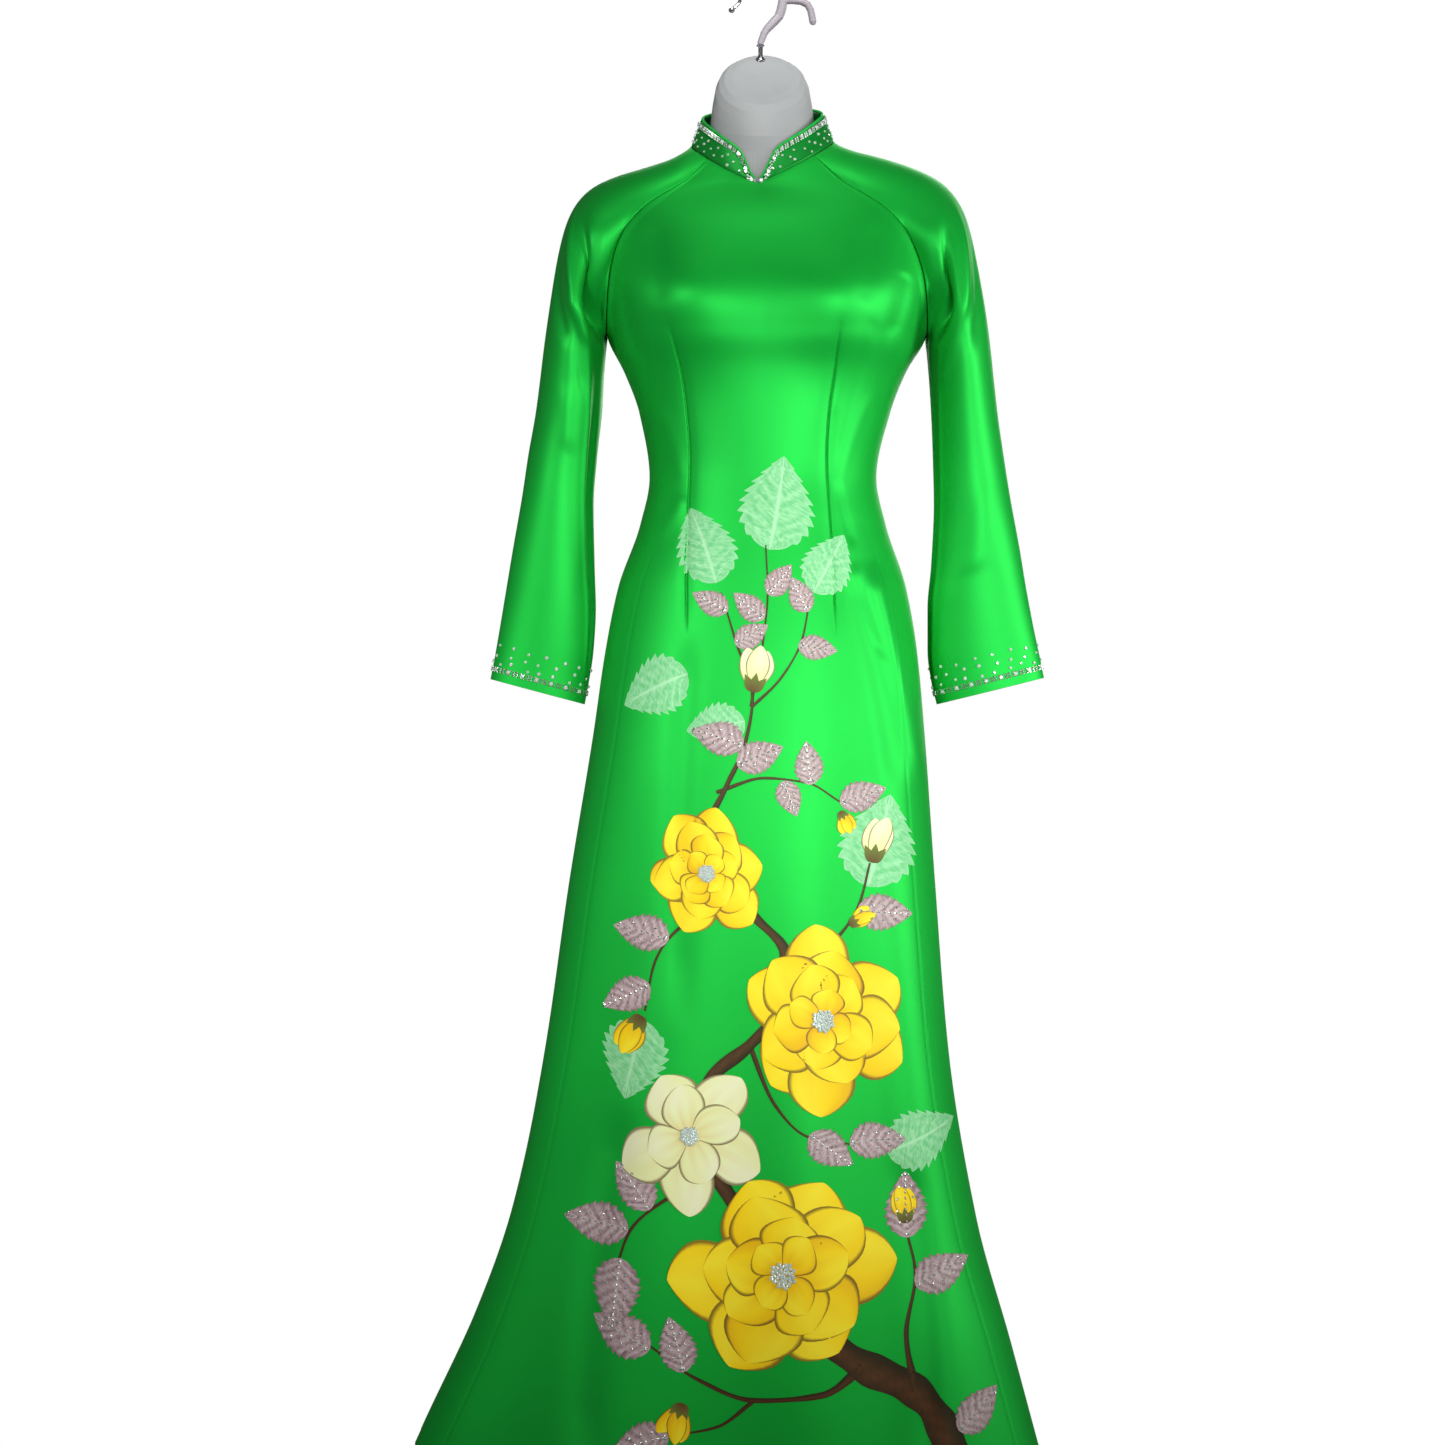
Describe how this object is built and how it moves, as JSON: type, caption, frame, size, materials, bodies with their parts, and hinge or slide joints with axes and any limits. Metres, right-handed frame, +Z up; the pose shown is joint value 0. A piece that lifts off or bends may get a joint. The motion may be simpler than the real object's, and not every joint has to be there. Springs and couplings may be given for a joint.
{
  "type": "ao dai tunic on a hanging torso form",
  "caption": "Long-sleeved green satin ao dai tunic with raglan sleeves, stand collar and side slits, filled out by a plastic torso form on a hook.",
  "frame": {"origin": "inside of the hook's crown, the point that a rail carries", "axes": "+Z up, the garment's front faces -Y, the wearer's right arm is at -X"},
  "size_m": [0.6826, 0.2631, 1.6478],
  "materials": {
    "satin": "satin",
    "edge_satin": "satin",
    "form_plastic": "matte",
    "hook_plastic": "gloss",
    "bright_metal": "polished"
  },
  "bodies": {
    "root": {"front": "satin", "back": "satin", "sleeve_right": "satin", "sleeve_left": "satin", "collar": "satin", "collar_piping": "edge_satin", "torso_form": "form_plastic", "hook": "hook_plastic", "hook_ferrule": "bright_metal", "hook_tip": "bright_metal"}
  },
  "joints": []
}
